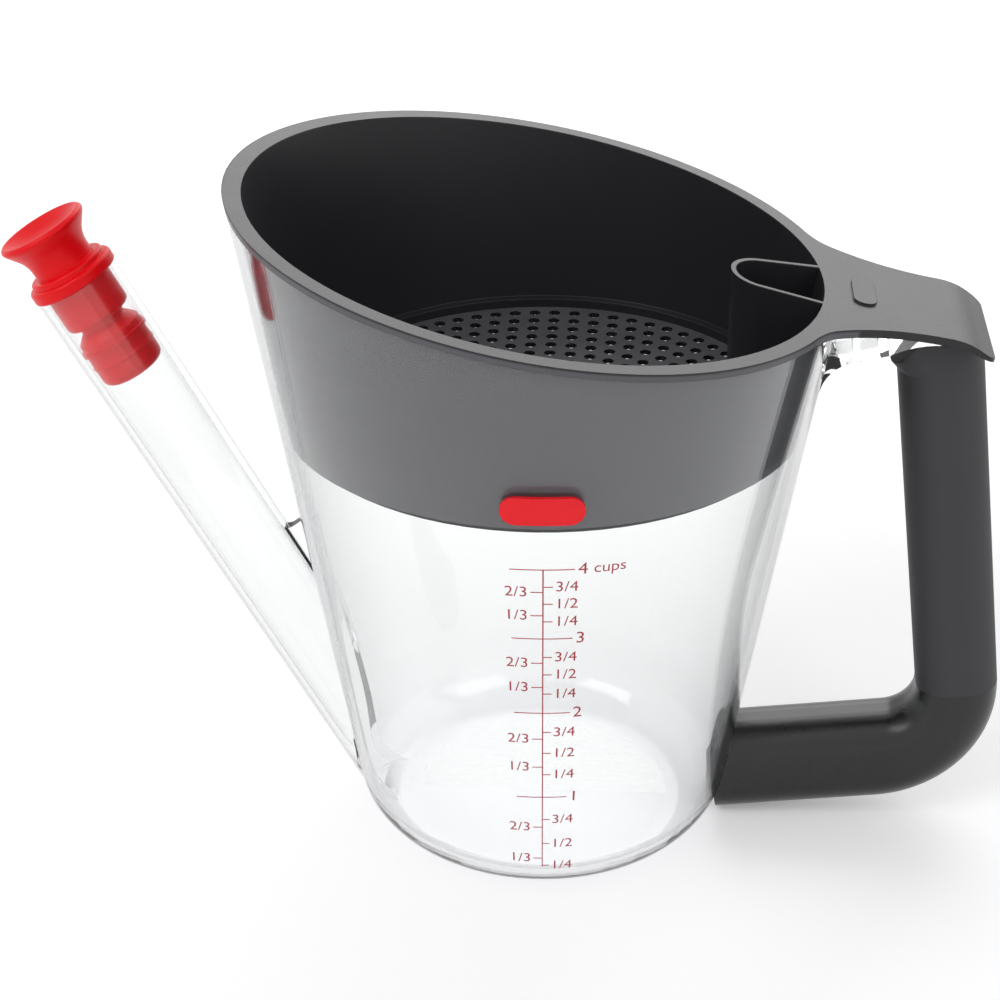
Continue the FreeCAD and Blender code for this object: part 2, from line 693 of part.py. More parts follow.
def build_strainer_bowl():
    wall = new_body("bowl_wall")
    bowl_bottom = wall_radius(LEDGE_BOTTOM, BOWL_INSET)
    revolve(wall, [
        (f"{TRAY_RADIUS} - tray_wall", SCREEN_TOP),
        (TRAY_RADIUS, SCREEN_TOP),
        (TRAY_RADIUS, LEDGE_BOTTOM),
        (bowl_bottom, LEDGE_BOTTOM),
        (wall_radius(ABOVE_ALL, BOWL_INSET), ABOVE_ALL),
        (wall_radius(ABOVE_ALL, BOWL_INNER_INSET), ABOVE_ALL),
        (wall_radius("ledge_height", BOWL_INNER_INSET), "ledge_height"),
        (f"{TRAY_RADIUS} - tray_wall", "ledge_height"),
    ])
    lip = new_body("lip_ring")
    revolve(lip, [
        (wall_radius("ledge_height", f"{BOWL_INSET} + strainer_wall / 2"), "ledge_height"),
        (wall_radius("ledge_height"), "ledge_height"),
        (wall_radius(ABOVE_ALL), ABOVE_ALL),
        (wall_radius(ABOVE_ALL, f"{BOWL_INSET} + strainer_wall / 2"), ABOVE_ALL),
    ])
    chimney = new_body("chimney_block")
    pad(chimney, chimney_outline(chimney, "0", SCREEN_BOTTOM), ABOVE_ALL)
    chimney_in_bowl = combine("Common", "chimney_in_bowl", chimney, bowl_solid("bowl_outside", BOWL_INSET))
    upright = combine("MultiFuse", "upright_walls", wall, chimney_in_bowl)
    under_top = combine("Common", "walls_under_lip_top", upright, below_plane("below_lip_top", "lip_thickness"))
    lip_under_top = combine("Common", "lip_under_top", lip, below_plane("below_lip_face", "lip_thickness"))
    lip_slab = combine("Cut", "lip_slab", lip_under_top, below_plane("below_lip_underside", "0"))
    inside = bowl_solid("bowl_inside", BOWL_INNER_INSET)
    tab = combine("Cut", "tab_outside_bowl", build_tab(), inside)
    whole = combine("MultiFuse", "bowl_whole", under_top, lip_slab, tab, build_pill())
    flue = new_body("flue")
    pad(flue, chimney_outline(flue, "chimney_wall", "0"), ABOVE_ALL)
    flue_in_bowl = combine("Common", "flue_in_bowl", flue, inside)
    return combine("Cut", "strainer_bowl", whole, flue_in_bowl)


def build_hole_punches(land):
    """One square punch for each hole: rings with six more holes each, on common spokes.

    The chimney's land, as a body, stays without holes.
    """
    pitch, side = number("hole_pitch"), number("hole_size")
    bottom, thickness = number(SCREEN_BOTTOM), number("screen_thickness")
    rings = int(number(f"({TRAY_RADIUS} - tray_wall - hole_size) / hole_pitch"))
    doc.recompute()
    punches = []
    for ring in range(rings + 1):
        for step in range(max(6 * ring, 1)):
            spoke = Rotation(Vector(0, 0, 1), 90 + 60 * step / max(ring, 1))
            centre = spoke.multVec(Vector(ring * pitch, 0, 0))
            if land.Shape.isInside(centre + Vector(0, 0, bottom + thickness / 2), TOUCH, True):
                continue
            punch = Part.makeBox(side, side, 3 * thickness, Vector(-side / 2, -side / 2, 0))
            punch.Placement = FreeCAD.Placement(centre + Vector(0, 0, bottom - thickness), spoke)
            punches.append(punch)
    group = doc.addObject("Part::Feature", "hole_punches")
    group.Shape = Part.makeCompound(punches)
    return group


def build_strainer_screen():
    """A disc with rings of square holes and a cut-out that fits round the chimney."""
    disc = new_body("screen_disc")
    revolve(disc, [
        ("0", SCREEN_BOTTOM),
        (TRAY_RADIUS, SCREEN_BOTTOM, "screen_edge_radius"),
        (TRAY_RADIUS, SCREEN_TOP),
        ("0", SCREEN_TOP),
    ])
    pocket_through(disc, chimney_outline(disc, "(0 - chimney_clearance)", SCREEN_TOP))
    land = new_body("chimney_land")
    land_outline = chimney_outline(land, "(0 - chimney_land - hole_size)", SCREEN_BOTTOM)
    pad(land, land_outline, "screen_thickness")
    return combine("Cut", "strainer_screen", disc, build_hole_punches(land))


# The stopper.

def build_stopper():
    """One turning on the spout's axis: a dished knob, a flange on the mouth, a plug and a bulb."""
    body = new_body("stopper")
    bore = "(spout_mouth_radius - spout_wall)"
    knob_edge = "(stopper_top_height - stopper_rim_thickness)"
    rim_round = "stopper_rim_thickness * 0.4"
    shoulder_top = "(stopper_flange_thickness + stopper_shoulder_thickness)"
    bulb_top = "(0 - plug_length - neck_length)"
    bulb = f"({bore} - bulb_play)"
    fin_top = "(0 - fin_depth + fin_thickness / 2)"
    fin_bottom = "(0 - fin_depth - fin_thickness / 2)"
    revolve(body, [
        ("0", "stopper_top_height - stopper_dish_depth"),
        ("stopper_dish_radius", "stopper_top_height - stopper_dish_depth", "stopper_top_radius"),
        ("stopper_top_radius - stopper_rim_thickness / 2", "stopper_top_height", rim_round),
        ("stopper_top_radius", f"{knob_edge} + stopper_rim_thickness / 2", rim_round),
        ("stopper_top_radius - stopper_rim_thickness / 4", knob_edge, rim_round),
        ("stopper_waist_radius", "stopper_waist_height", "stopper_waist_radius"),
        ("stopper_waist_radius", shoulder_top),
        ("stopper_shoulder_radius", shoulder_top, "stopper_shoulder_thickness / 2"),
        ("stopper_shoulder_radius", "stopper_flange_thickness"),
        ("stopper_flange_radius", "stopper_flange_thickness", "stopper_flange_thickness / 3"),
        ("stopper_flange_radius", "0", "stopper_flange_thickness / 6"),
        (f"{bore} - plug_play", "0"),
        (f"{bore} - plug_play", "0 - plug_length", "plug_length / 6"),
        ("neck_radius", "0 - plug_length"),
        ("neck_radius", bulb_top),
        (bulb, f"{bulb_top} - bulb_taper"),
        (bulb, fin_top),
        (f"{bore} - fin_play", fin_top),
        (f"{bore} - fin_play", fin_bottom),
        (bulb, fin_bottom),
        (bulb, "0 - bead_depth + bead_thickness / 2"),
        (f"{bore} - bead_play", "0 - bead_depth"),
        (bulb, "0 - bead_depth - bead_thickness / 2"),
        (bulb, "0 - stopper_length", "stopper_end_radius"),
        ("0", "0 - stopper_length"),
    ])
    place_on_spout_axis(body)
    return body


def check(item):
    if "Invalid" in item.State or "Error" in item.State:
        raise RuntimeError(f"{item.Label} failed: {item.State}")


def main():
    envelope = build_cup_envelope()
    bore = build_bore()
    pieces = {
        "cup": build_cup(bore),
        "spout": build_spout(bore, envelope),
        "handle_arm": build_handle_arm(envelope),
        "handle_grip": build_handle_grip(),
        "front_badge": build_front_badge(),
        "strainer_bowl": build_strainer_bowl(),
        "strainer_screen": build_strainer_screen(),
        "stopper": build_stopper(),
    }
    doc.recompute()
    for item in doc.Objects:
        check(item)
    os.makedirs("parts", exist_ok=True)
    for name, piece in pieces.items():
        shape = piece.Shape
        if shape.isNull() or not shape.isValid() or len(shape.Solids) != 1:
            raise RuntimeError(f"{name} is not one valid solid")
        shape.exportStep(f"parts/{name}.step")
        print(f"{name}: {shape.Volume / 1000:.2f} cm3, {len(shape.Faces)} faces")


main()
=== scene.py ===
"""Looks of the gravy fat separator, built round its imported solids.

Metres, +Z up. The origin is the centre of the cup's flat base. The spout points along -X, the handle
along +X, and the printed scale and the badge are on the -Y side.
"""

import math

import bpy
import numpy as np
from mathutils import Matrix, Vector
from mathutils.geometry import delaunay_2d_cdt


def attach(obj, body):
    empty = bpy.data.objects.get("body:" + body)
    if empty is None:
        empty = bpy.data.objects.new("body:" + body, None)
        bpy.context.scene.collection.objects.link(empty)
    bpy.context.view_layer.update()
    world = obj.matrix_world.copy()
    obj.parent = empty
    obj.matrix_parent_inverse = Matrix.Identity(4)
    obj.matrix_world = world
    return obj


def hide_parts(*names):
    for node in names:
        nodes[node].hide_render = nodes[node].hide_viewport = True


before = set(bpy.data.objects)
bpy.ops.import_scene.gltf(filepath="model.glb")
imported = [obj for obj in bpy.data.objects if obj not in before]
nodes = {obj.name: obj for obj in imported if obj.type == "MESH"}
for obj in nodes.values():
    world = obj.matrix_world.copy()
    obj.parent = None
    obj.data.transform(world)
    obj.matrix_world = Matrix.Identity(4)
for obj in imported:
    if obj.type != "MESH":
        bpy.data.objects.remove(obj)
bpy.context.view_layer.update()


# The clear cup and its spout, injection moulded in a clear styrene plastic with polished faces. The
# spout is welded on at the very bottom, and the bracket under the strainer's tab is part of the cup.
CLEAR_WAVE = 1 / 33
LONGEST_GLASSY_PATH = 7.5


def linear(code):
    """An sRGB hex colour as linear red, green, blue and alpha: the sRGB curve undone by channel."""
    channels = np.array([int(code[i:i + 2], 16) for i in (1, 3, 5)]) / 255
    straight = np.where(channels <= 0.04045, channels / 12.92, ((channels + 0.055) / 1.055) ** 2.4)
    return (*straight.tolist(), 1.0)


def blank(name):
    """A new material with no nodes in it."""
    material = bpy.data.materials.new(name)
    material.use_nodes = True
    material.node_tree.nodes.clear()
    return material


def add(material, kind, inputs, **settings):
    """Add one node. An input takes a plain value, or another node's socket, which is linked to it."""
    made = material.node_tree.nodes.new(kind)
    for name, value in settings.items():
        setattr(made, name, value)
    for socket, value in inputs.items():
        if isinstance(value, bpy.types.NodeSocket):
            material.node_tree.links.new(value, made.inputs[socket])
        else:
            made.inputs[socket].default_value = value
    return made


def coat(piece, material):
    """Give a piece one material, in place of what it has."""
    piece.data.materials.clear()
    piece.data.materials.append(material)


# Clear moulded styrene: glassy and colourless, with the faint slow waves that moulding leaves, about
# 30 mm from crest to crest. Its index is set under styrene's 1.59, because thin walls bend light
# little. A glancing look crosses more plastic, so the edges are greyer.
clear = blank("clear_moulded_styrene")
clear_place = add(clear, "ShaderNodeTexCoord", {})
clear_waves = add(clear, "ShaderNodeTexNoise", {
    "Vector": clear_place.outputs["Object"], "Scale": 1 / CLEAR_WAVE, "Detail": 1.0})
clear_bump = add(clear, "ShaderNodeBump", {
    "Height": clear_waves.outputs["Fac"], "Strength": 0.02, "Distance": 0.001})
clear_turn = add(clear, "ShaderNodeLayerWeight", {"Blend": 0.5})
clear_edge = add(clear, "ShaderNodeMath", {0: clear_turn.outputs["Facing"], 1: 3.0}, operation="POWER")
clear_tint = add(clear, "ShaderNodeMix", {
    "Factor": clear_edge.outputs[0], "A": linear("#fcfdfd"), "B": linear("#3e4247")},
    data_type="RGBA")
clear_body = add(clear, "ShaderNodeBsdfPrincipled", {
    "Base Color": clear_tint.outputs["Result"], "Roughness": 0.0, "IOR": 1.44,
    "Transmission Weight": 1.0, "Normal": clear_bump.outputs["Normal"]})

# Light on its way to or from a matt surface goes straight through the thin walls. So does a ray that
# has bounced many times between them, which would otherwise run out and leave a black sliver.
clear_pass = add(clear, "ShaderNodeBsdfTransparent", {"Color": linear("#fbfbfc")})
clear_path = add(clear, "ShaderNodeLightPath", {})
clear_deep = add(clear, "ShaderNodeMath", {
    0: clear_path.outputs["Ray Depth"], 1: LONGEST_GLASSY_PATH}, operation="GREATER_THAN")
clear_soft = add(clear, "ShaderNodeMath", {
    0: clear_path.outputs["Is Shadow Ray"], 1: clear_path.outputs["Is Diffuse Ray"]},
    operation="MAXIMUM")
clear_straight = add(clear, "ShaderNodeMath", {
    0: clear_soft.outputs[0], 1: clear_deep.outputs[0]}, operation="MAXIMUM")
clear_mix = add(clear, "ShaderNodeMixShader", {
    0: clear_straight.outputs[0], 1: clear_body.outputs[0], 2: clear_pass.outputs[0]})
add(clear, "ShaderNodeOutputMaterial", {"Surface": clear_mix.outputs[0]})

coat(nodes["cup"], clear)
coat(nodes["spout"], clear)


# The measuring scale, screen printed in dark red ink on the outside of the cup: a long upright line,
# a tick for each mark, thirds to its left, quarters to its right and whole cups on wide ticks.
GROUND_RADIUS = 0.0461
LEAN = math.radians(9.29)
CORNER = 0.0153
INK_LIFT = 0.00004


def wall_point(azimuth, height, lift):
    """Points on the cup's outside, as arrays of azimuths from -Y in degrees, heights and a lift.

    The radius grows with the height by the cone's slope. Under the height where the round bottom
    corner meets the cone, it is the corner's arc instead.
    """
    arc_centre = GROUND_RADIUS + CORNER * math.tan(LEAN) - CORNER / math.cos(LEAN)
    on_arc = arc_centre + np.sqrt(np.maximum(CORNER**2 - (CORNER - height) ** 2, 0))
    on_cone = GROUND_RADIUS + height * math.tan(LEAN)
    radius = np.where(height < CORNER * (1 - math.sin(LEAN)), on_arc, on_cone) + lift
    turn = np.radians(azimuth)
    return np.stack([radius * np.sin(turn), -radius * np.cos(turn), height + 0 * turn], axis=-1)


def new_piece(name, points, faces, material, body):
    """A flat shaded mesh of points and faces, which rides on a body."""
    mesh = bpy.data.meshes.new(name)
    mesh.from_pydata(points, [], faces)
    mesh.update()
    piece = bpy.data.objects.new(name, mesh)
    bpy.context.scene.collection.objects.link(piece)
    coat(piece, material)
    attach(piece, body)
    return piece


def grid_faces(rows, columns, first=0):
    """Quads of a grid of points laid out row after row."""
    low = (np.arange(rows - 1)[:, None] * columns + np.arange(columns - 1)).ravel() + first
    return np.stack([low, low + 1, low + columns + 1, low + columns], axis=1).tolist()


# Each mark's words and its height. Azimuths are in degrees from -Y, towards the handle.
WHOLE = [("4", 0.10571), ("3", 0.08558), ("2", 0.06274), ("1", 0.03540)]
QUARTERS = [
    ("3/4", 0.10078), ("1/2", 0.09584), ("1/4", 0.09067),
    ("3/4", 0.08001), ("1/2", 0.07470), ("1/4", 0.06876),
    ("3/4", 0.05664), ("1/2", 0.04993), ("1/4", 0.04292),
    ("3/4", 0.02788), ("1/2", 0.01962), ("1/4", 0.01197),
]
THIRDS = [
    ("2/3", 0.09927), ("1/3", 0.09247), ("2/3", 0.07824), ("1/3", 0.07078),
    ("2/3", 0.05449), ("1/3", 0.04539), ("2/3", 0.02525), ("1/3", 0.01451),
]
TOP_MARK = WHOLE[0][1]
LINE = 0.00030
LINE_AZIMUTH, LINE_FOOT = 3.05, 0.0115
MIDDLE_RADIUS = 0.056
WHOLE_TICK = (-3.8, 9.5)
QUARTER_TICK = (LINE_AZIMUTH, 5.1)
THIRD_TICK = (0.4, LINE_AZIMUTH)
NUMBER_AZIMUTH, UNIT_AZIMUTH, QUARTER_AZIMUTH, THIRD_AZIMUTH = 10.1, 13.3, 5.5, -0.1
NUMBER_SIZE, WORD_SIZE = 0.0047, 0.0042
ink_points, ink_faces = [], []


def print_bar(azimuths, heights):
    """A printed bar: a grid of points over a span of azimuths and a span of heights."""
    across = np.linspace(*azimuths, 9)
    up = np.linspace(*heights, 2 if heights[1] - heights[0] < 0.01 else 60)
    points = wall_point(*np.meshgrid(across, up), INK_LIFT).reshape(-1, 3)
    ink_faces.extend(grid_faces(len(up), len(across), len(ink_points)))
    ink_points.extend(points.tolist())


def print_tick(azimuths, height):
    """A level tick, one line wide, centred on a height."""
    print_bar(azimuths, (height - LINE / 2, height + LINE / 2))


def print_words(words, azimuth, height, size, align):
    """Lettering wrapped on the cup: its width becomes azimuth and its height runs up the wall."""
    curve = bpy.data.curves.new("words", "FONT")
    curve.body, curve.size, curve.align_x, curve.align_y = words, size, align, "CENTER"
    holder = bpy.data.objects.new("words", curve)
    bpy.context.scene.collection.objects.link(holder)
    bpy.context.view_layer.update()
    mesh = bpy.data.meshes.new_from_object(holder)
    flat = np.zeros(len(mesh.vertices) * 3)
    mesh.vertices.foreach_get("co", flat)
    flat = flat.reshape(-1, 3)
    radius = GROUND_RADIUS + height * math.tan(LEAN)
    turned = azimuth + np.degrees(flat[:, 0] / radius)
    points = wall_point(turned, height + flat[:, 1] * math.cos(LEAN), INK_LIFT)
    start = len(ink_points)
    ink_faces.extend([[start + i for i in face.vertices] for face in mesh.polygons])
    ink_points.extend(points.tolist())
    bpy.data.objects.remove(holder)
    bpy.data.curves.remove(curve)
    bpy.data.meshes.remove(mesh)


half_line = math.degrees(LINE / 2 / MIDDLE_RADIUS)
print_bar((LINE_AZIMUTH - half_line, LINE_AZIMUTH + half_line), (LINE_FOOT, TOP_MARK))
for words, height in WHOLE:
    print_tick(WHOLE_TICK, height)
    print_words(words, NUMBER_AZIMUTH, height, NUMBER_SIZE, "LEFT")
print_words("cups", UNIT_AZIMUTH, TOP_MARK, WORD_SIZE, "LEFT")
for words, height in QUARTERS:
    print_tick(QUARTER_TICK, height)
    print_words(words, QUARTER_AZIMUTH, height, WORD_SIZE, "LEFT")
for words, height in THIRDS:
    print_tick(THIRD_TICK, height)
    print_words(words, THIRD_AZIMUTH, height, WORD_SIZE, "RIGHT")

# Screen printing ink: flat dark red and opaque, with a slight unevenness of the film about every
# millimetre.
INK_PATCH = 1 / 900
ink = blank("printed_red_ink")
ink_place = add(ink, "ShaderNodeTexCoord", {})
ink_film = add(ink, "ShaderNodeTexNoise", {"Vector": ink_place.outputs["Object"], "Scale": 1 / INK_PATCH})
ink_tone = add(ink, "ShaderNodeMix", {
    "Factor": ink_film.outputs["Fac"], "A": linear("#a8303c"), "B": linear("#b23a46")},
    data_type="RGBA")
ink_body = add(ink, "ShaderNodeBsdfPrincipled", {
    "Base Color": ink_tone.outputs["Result"], "Roughness": 0.5})
add(ink, "ShaderNodeOutputMaterial", {"Surface": ink_body.outputs[0]})
new_piece("scale_print", ink_points, ink_faces, ink, "vessel")


# The handle's arm: a hard elbow moulded in black ABS and fixed to the cup low down. A fine satin
# grain from the tool softens its highlights.
EDGE_SOFTNESS = 0.0003


def grained(name, tones, mottle, grain, depth, rough, **finish):
    """A moulded opaque plastic: two close tones in soft patches, a fine raised grain and soft edges.

    Mottle and grain are real sizes in metres. A noise pattern has about one feature per 1 / scale.
    """
    material = blank(name)
    place = add(material, "ShaderNodeTexCoord", {})
    patches = add(material, "ShaderNodeTexNoise", {
        "Vector": place.outputs["Object"], "Scale": 1 / mottle, "Detail": 3.0})
    tone = add(material, "ShaderNodeMix", {
        "Factor": patches.outputs["Fac"], "A": linear(tones[0]), "B": linear(tones[1])},
        data_type="RGBA")
    spread = add(material, "ShaderNodeMapRange", {
        "Value": patches.outputs["Fac"], "To Min": rough[0], "To Max": rough[1]})
    pits = add(material, "ShaderNodeTexNoise", {
        "Vector": place.outputs["Object"], "Scale": 1 / grain, "Detail": 2.0})
    soft_edges = add(material, "ShaderNodeBevel", {"Radius": EDGE_SOFTNESS}, samples=8)
    bump = add(material, "ShaderNodeBump", {
        "Height": pits.outputs["Fac"], "Strength": 1.0, "Distance": depth,
        "Normal": soft_edges.outputs["Normal"]})
    body = add(material, "ShaderNodeBsdfPrincipled", {
        "Base Color": tone.outputs["Result"], "Roughness": spread.outputs["Result"],
        "Normal": bump.outputs["Normal"], **finish})
    add(material, "ShaderNodeOutputMaterial", {"Surface": body.outputs[0]})
    return material


coat(nodes["handle_arm"], grained(
    "satin_black_abs", ("#141416", "#1a1a1c"), 0.012, 0.0005, 0.00001, (0.24, 0.32)))


# The grip: a sleeve of soft rubbery elastomer pushed on the arm's post. It is matt and a little
# lighter than the arm, so it shows no sharp highlight.
coat(nodes["handle_grip"], grained(
    "soft_matt_elastomer", ("#2e2d30", "#343337"), 0.010, 0.0006, 0.00003, (0.58, 0.68)))


# The badge: a small pill of glossy red ABS, moulded smooth and stuck on the front of the cup. It is
# left bare.
coat(nodes["front_badge"], grained(
    "glossy_red_abs", ("#ee1420", "#f61b27"), 0.006, 0.0020, 0.00001, (0.20, 0.26),
    **{"Specular IOR Level": 0.25}))


# The strainer's bowl: grey polypropylene, hung in the cup by its slanted lip. The bowl is moulded
# smooth. The lip and the tab are spark eroded, which gives them a dark speckled grain. The outside is
# painted paler than the inside: a painted reflection, standing for the bright reflections of the clear
# wall before it.
RIM_HEIGHT = 0.1588
RIM_TILT = math.radians(10.4)
LIP_START, LIP_FULL = 0.0012, 0.0017
TAB_START, TAB_FULL = 0.0725, 0.0735
LIP_GRAIN = 0.0007
INSIDE_DEPTH, OUTSIDE_DEPTH = 0.0030, 0.0027
# Its two paler grey tones are the outside's painted reflection. The plastic's own dark grey is the inside
# tone below.
strainer_plastic = grained(
    "moulded_grey_polypropylene_painted_reflection", ("#535357", "#5b5b60"), 0.014, 0.0006, 0.00004, (0.30, 0.36),
    **{"Specular IOR Level": 0.3})
strainer_nodes = {node.type: node for node in strainer_plastic.node_tree.nodes}
strainer_body, strainer_bump = strainer_nodes["BSDF_PRINCIPLED"], strainer_nodes["BUMP"]
outside_painted_reflection_tone = strainer_body.inputs["Base Color"].links[0].from_socket

# Where the lip is: the height over the slanted rim's plane. The tab is all that lies further out.
rim_level = RIM_HEIGHT * math.cos(RIM_TILT)
strainer_place = add(strainer_plastic, "ShaderNodeTexCoord", {})
over_rim = add(strainer_plastic, "ShaderNodeVectorMath", {
    0: strainer_place.outputs["Object"], 1: (math.sin(RIM_TILT), 0, math.cos(RIM_TILT))},
    operation="DOT_PRODUCT")
on_lip = add(strainer_plastic, "ShaderNodeMapRange", {
    "Value": over_rim.outputs["Value"], "From Min": rim_level + LIP_START,
    "From Max": rim_level + LIP_FULL})
along = add(strainer_plastic, "ShaderNodeSeparateXYZ", {0: strainer_place.outputs["Object"]})
on_tab = add(strainer_plastic, "ShaderNodeMapRange", {
    "Value": along.outputs["X"], "From Min": TAB_START, "From Max": TAB_FULL})
eroded = add(strainer_plastic, "ShaderNodeMath", {
    0: on_lip.outputs["Result"], 1: on_tab.outputs["Result"]}, operation="MAXIMUM")
speckle = add(strainer_plastic, "ShaderNodeTexNoise", {
    "Vector": strainer_place.outputs["Object"], "Scale": 1 / LIP_GRAIN, "Detail": 3.0})
eroded_tone = add(strainer_plastic, "ShaderNodeMix", {
    "Factor": speckle.outputs["Fac"], "A": linear("#161617"), "B": linear("#303032")},
    data_type="RGBA")

# Where the outside is, which takes the painted reflection: the distance from the axis, less what the
# cone grows by up to that height.
flat_place = add(strainer_plastic, "ShaderNodeVectorMath", {
    0: strainer_place.outputs["Object"], 1: (1, 1, 0)}, operation="MULTIPLY")
axis_reach = add(strainer_plastic, "ShaderNodeVectorMath", {
    0: flat_place.outputs["Vector"]}, operation="LENGTH")
cone_growth = add(strainer_plastic, "ShaderNodeMath", {
    0: along.outputs["Z"], 1: math.tan(LEAN)}, operation="MULTIPLY")
ground_reach = add(strainer_plastic, "ShaderNodeMath", {
    0: axis_reach.outputs["Value"], 1: cone_growth.outputs[0]}, operation="SUBTRACT")
painted_reflection_mask = add(strainer_plastic, "ShaderNodeMapRange", {
    "Value": ground_reach.outputs[0], "From Min": GROUND_RADIUS - INSIDE_DEPTH,
    "From Max": GROUND_RADIUS - OUTSIDE_DEPTH})
# The inside keeps the plastic's own dark grey, and the outside takes the paler painted reflection.
wall_tone_and_painted_reflection = add(strainer_plastic, "ShaderNodeMix", {
    "Factor": painted_reflection_mask.outputs["Result"], "A": linear("#242427"), "B": outside_painted_reflection_tone},
    data_type="RGBA")
strainer_tone = add(strainer_plastic, "ShaderNodeMix", {
    "Factor": eroded.outputs[0], "A": wall_tone_and_painted_reflection.outputs["Result"],
    "B": eroded_tone.outputs["Result"]}, data_type="RGBA")
strainer_plastic.node_tree.links.new(strainer_tone.outputs["Result"], strainer_body.inputs["Base Color"])
strainer_plastic.node_tree.links.new(eroded.outputs[0], strainer_bump.inputs["Strength"])
coat(nodes["strainer_bowl"], strainer_plastic)


# The strainer's floor: a thin moulded disc with rings of small round holes, cut out round the vent
# chimney. Each hole has a tiny bevel at its top edge.
SCREEN_TOP, SCREEN_BOTTOM = 0.1152, 0.1140
SCREEN_RADIUS = 0.060195
HOLE_PITCH = 0.0050
HOLE_RINGS = 11
HOLE_RADIUS = 0.00130
HOLE_BEVEL = 0.00018
HOLE_SIDES = 14
CHIMNEY_TIP, CHIMNEY_HALF, CHIMNEY_CURVE = 0.0441, 0.00705, 0.0083
CHIMNEY_FLARE = math.radians(11.3)
CHIMNEY_GAP = 0.0001
HOLE_TO_CHIMNEY = 0.0039


def chimney_side(outset):
    """The chimney's U in plan, grown by an outset: tip, half width, corner radius and corner centre."""
    tip = CHIMNEY_TIP - outset
    half = CHIMNEY_HALF - outset * math.tan(CHIMNEY_FLARE) + outset / math.cos(CHIMNEY_FLARE)
    curve = CHIMNEY_CURVE + outset
    centre_y = half + curve * math.tan(CHIMNEY_FLARE) - curve / math.cos(CHIMNEY_FLARE)
    return tip, half, curve, np.array([tip + curve, centre_y])


def in_chimney(points, outset):
    """Which plan points are inside the chimney's U, grown by an outset."""
    tip, half, curve, centre = chimney_side(outset)
    x, y = points[:, 0], np.abs(points[:, 1])
    inside = (x > tip) & (y < half + (x - tip) * math.tan(CHIMNEY_FLARE))
    in_corner = (x < centre[0] - curve * math.sin(CHIMNEY_FLARE)) & (y > centre[1])
    return inside & ~(in_corner & (np.hypot(x - centre[0], y - centre[1]) > curve))


def screen_outline():
    """The disc's edge as one loop: the long arc, then the U of the chimney's cut-out."""
    tip, half, curve, centre = chimney_side(CHIMNEY_GAP)
    slope = math.tan(CHIMNEY_FLARE)
    offset = half - tip * slope
    reach = (-offset * slope + math.sqrt((1 + slope**2) * SCREEN_RADIUS**2 - offset**2)) / (1 + slope**2)
    mouth = math.atan2(offset + reach * slope, reach)
    turn = np.linspace(mouth, math.tau - mouth, 161)
    arc = SCREEN_RADIUS * np.stack([np.cos(turn), np.sin(turn)], axis=1)
    bend = np.linspace(math.pi / 2 + CHIMNEY_FLARE, math.pi, 13)
    upper = centre + curve * np.stack([np.cos(bend), np.sin(bend)], axis=1)
    lower = upper[::-1] * (1, -1)
    return np.concatenate([arc, lower[::-1], upper[::-1]])


# Hole centres: ring k has 6 k holes, evenly spaced from the +Y spoke, and ring 0 has one.
ring = np.repeat(np.arange(HOLE_RINGS + 1), [1] + [6 * k for k in range(1, HOLE_RINGS + 1)])
step = np.concatenate([np.arange(max(6 * k, 1)) for k in range(HOLE_RINGS + 1)])
spoke = np.radians(90 + 60 * step / np.maximum(ring, 1))
holes = HOLE_PITCH * ring[:, None] * np.stack([np.cos(spoke), np.sin(spoke)], axis=1)
holes = holes[~in_chimney(holes, HOLE_TO_CHIMNEY)]
hole_turn = np.arange(HOLE_SIDES) * math.tau / HOLE_SIDES
outline = screen_outline()


def hole_rings(radius):
    """One ring of points round every hole, as one array."""
    round_hole = radius * np.stack([np.cos(hole_turn), np.sin(hole_turn)], axis=1)
    return (holes[:, None] + round_hole).reshape(-1, 2)


def plate_faces(rings_at, flip):
    """Triangles of the plate between its outline and the holes: a constrained triangulation.

    A triangle whose middle is nearer to a hole's centre than the hole's flat sides are is dropped.
    """
    flat = np.concatenate([outline, rings_at])
    start = len(outline)
    loop = np.arange(len(rings_at)).reshape(len(holes), HOLE_SIDES)
    sides = np.stack([loop, np.roll(loop, -1, axis=1)], axis=-1).reshape(-1, 2) + start
    points, _, faces, *_ = delaunay_2d_cdt(
        [Vector(p) for p in flat], sides.tolist(), [list(range(start))], 1, 1e-9)
    places = np.array([p[:] for p in points])
    corners = np.array([face[:3] for face in faces if len(face) == 3])
    middle = places[corners].mean(axis=1)
    nearest = np.hypot(*(middle[:, None] - holes).transpose(2, 0, 1)).min(axis=1)
    side_reach = np.hypot(*(rings_at[0] - holes[0])) * math.cos(math.pi / HOLE_SIDES)
    kept = corners[nearest > side_reach * 0.99]
    return places, kept[:, ::-1] if flip else kept


screen_points, screen_faces = [], []
levels = [
    (hole_rings(HOLE_RADIUS + HOLE_BEVEL), SCREEN_TOP),
    (hole_rings(HOLE_RADIUS), SCREEN_TOP - HOLE_BEVEL),
    (hole_rings(HOLE_RADIUS), SCREEN_BOTTOM),
]
for rings_at, height, flip in ((levels[0][0], SCREEN_TOP, False), (levels[2][0], SCREEN_BOTTOM, True)):
    places, kept = plate_faces(rings_at, flip)
    screen_faces.extend((kept + len(screen_points)).tolist())
    screen_points.extend(np.column_stack([places, np.full(len(places), height)]).tolist())
for upper, lower in zip(levels, levels[1:]):
    count = len(upper[0])
    loop = np.arange(count).reshape(-1, HOLE_SIDES)
    after = np.roll(loop, -1, axis=1)
    quads = np.stack([loop, after, after + count, loop + count], axis=-1).reshape(-1, 4)
    screen_faces.extend((quads[:, ::-1] + len(screen_points)).tolist())
    for rings_at, height in (upper, lower):
        screen_points.extend(np.column_stack([rings_at, np.full(count, height)]).tolist())
count = len(outline)
edge = np.arange(count)
quads = np.stack([edge, np.roll(edge, -1), np.roll(edge, -1) + count, edge + count], axis=1)
screen_faces.extend((quads + len(screen_points)).tolist())
for height in (SCREEN_BOTTOM, SCREEN_TOP):
    screen_points.extend(np.column_stack([outline, np.full(count, height)]).tolist())
